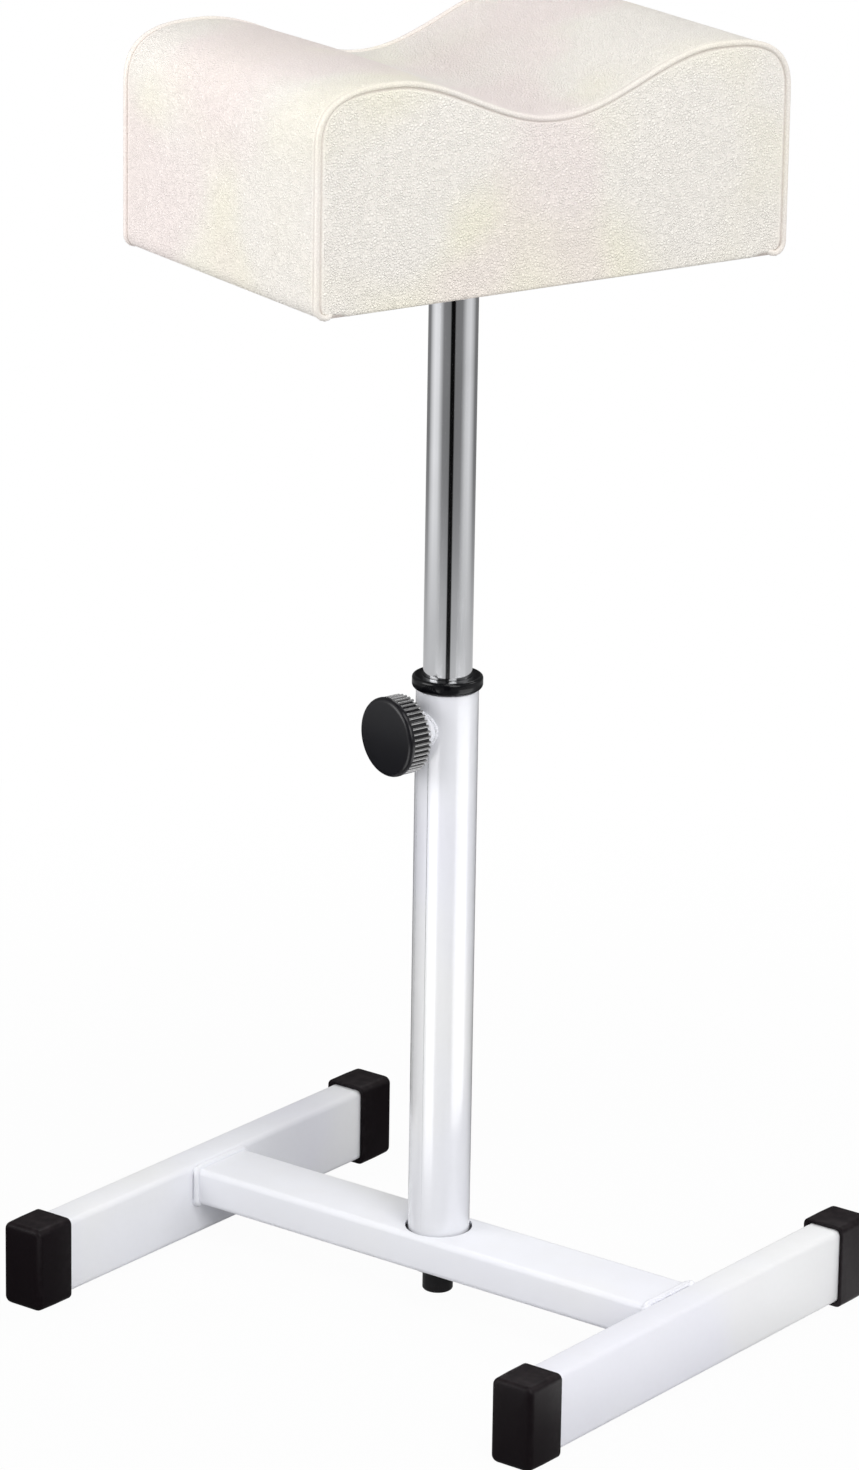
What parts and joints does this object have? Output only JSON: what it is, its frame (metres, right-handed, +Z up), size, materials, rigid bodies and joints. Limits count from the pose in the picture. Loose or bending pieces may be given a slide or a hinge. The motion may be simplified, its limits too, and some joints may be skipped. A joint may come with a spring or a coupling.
{
  "type": "pedicure footrest",
  "caption": "Height-adjustable pedicure footrest: a two-lobed padded cushion on a clamped telescopic column with an H-shaped tube base.",
  "frame": {"origin": "on the floor, on the axis of the column", "axes": "+Z up along the column; +X along the cross tube, from the left leg to the right leg; +Y along the legs, towards the rear, away from the side with the clamp knob"},
  "size_m": [0.341, 0.3204, 0.674],
  "materials": {
    "white_paint": "satin powder coat",
    "black_plastic": "satin moulded",
    "black_gloss_plastic": "glossy moulded",
    "black_steel": "black oxide",
    "zinc_steel": "bright zinc",
    "chrome": "polished chrome plate",
    "natural_plastic": "natural moulded",
    "ivory_leather": "fine pebbled synthetic leather",
    "foam": "cut foam",
    "plywood": "raw plywood",
    "lining_cloth": "non-woven cloth"
  },
  "bodies": {
    "frame": {"leg_tube_left": "white_paint", "leg_tube_right": "white_paint", "cross_tube": "white_paint", "end_cap_front_left": "black_plastic", "end_cap_front_right": "black_plastic", "end_cap_rear_left": "black_plastic", "end_cap_rear_right": "black_plastic", "column_tube": "white_paint", "column_foot_plug": "zinc_steel", "base_bolt": "black_steel", "base_washer": "zinc_steel", "base_lock_washer": "black_steel", "guide_collar": "black_gloss_plastic", "clamp_boss": "white_paint"},
    "glide": {"post_guide_ring": "natural_plastic"},
    "post": {"post_tube": "chrome", "post_end_plug": "zinc_steel", "mounting_plate": "chrome", "plate_screw_1": "zinc_steel", "plate_screw_2": "zinc_steel", "plate_screw_3": "zinc_steel", "plate_screw_4": "zinc_steel", "tee_nut_1": "zinc_steel", "tee_nut_2": "zinc_steel", "tee_nut_3": "zinc_steel", "tee_nut_4": "zinc_steel", "base_board": "plywood", "foam_block": "foam", "cover_wrap": "ivory_leather", "cover_end_front": "ivory_leather", "cover_end_rear": "ivory_leather", "piping_front": "ivory_leather", "piping_rear": "ivory_leather", "lining_cloth": "lining_cloth"},
    "clamp_slug": {"clamp_pad": "natural_plastic"},
    "knob": {"clamp_knob": "black_plastic", "clamp_stud": "zinc_steel"}
  },
  "joints": [
    {"name": "height_slide", "type": "slide", "parent": "frame", "child": "glide", "axis": [0, 0, 1], "range_m": [-0.208, 0.018]},
    {"name": "post_swivel", "type": "hinge", "parent": "glide", "child": "post", "pos_m": [0, 0, 0.26], "axis": [0, 0, 1], "continuous": true},
    {"name": "clamp_travel", "type": "slide", "parent": "frame", "child": "clamp_slug", "axis": [-0.225, -0.9744, 0], "range_m": [0, 0.0025]},
    {"name": "knob_turn", "type": "hinge", "parent": "clamp_slug", "child": "knob", "pos_m": [0, 0, 0.3145], "axis": [-0.225, -0.9744, 0], "range_deg": [0, 720]}
  ],
  "couplings": [
    {"joint": "clamp_travel", "follows": "knob_turn", "m_per_rad": 0.0001989}
  ]
}
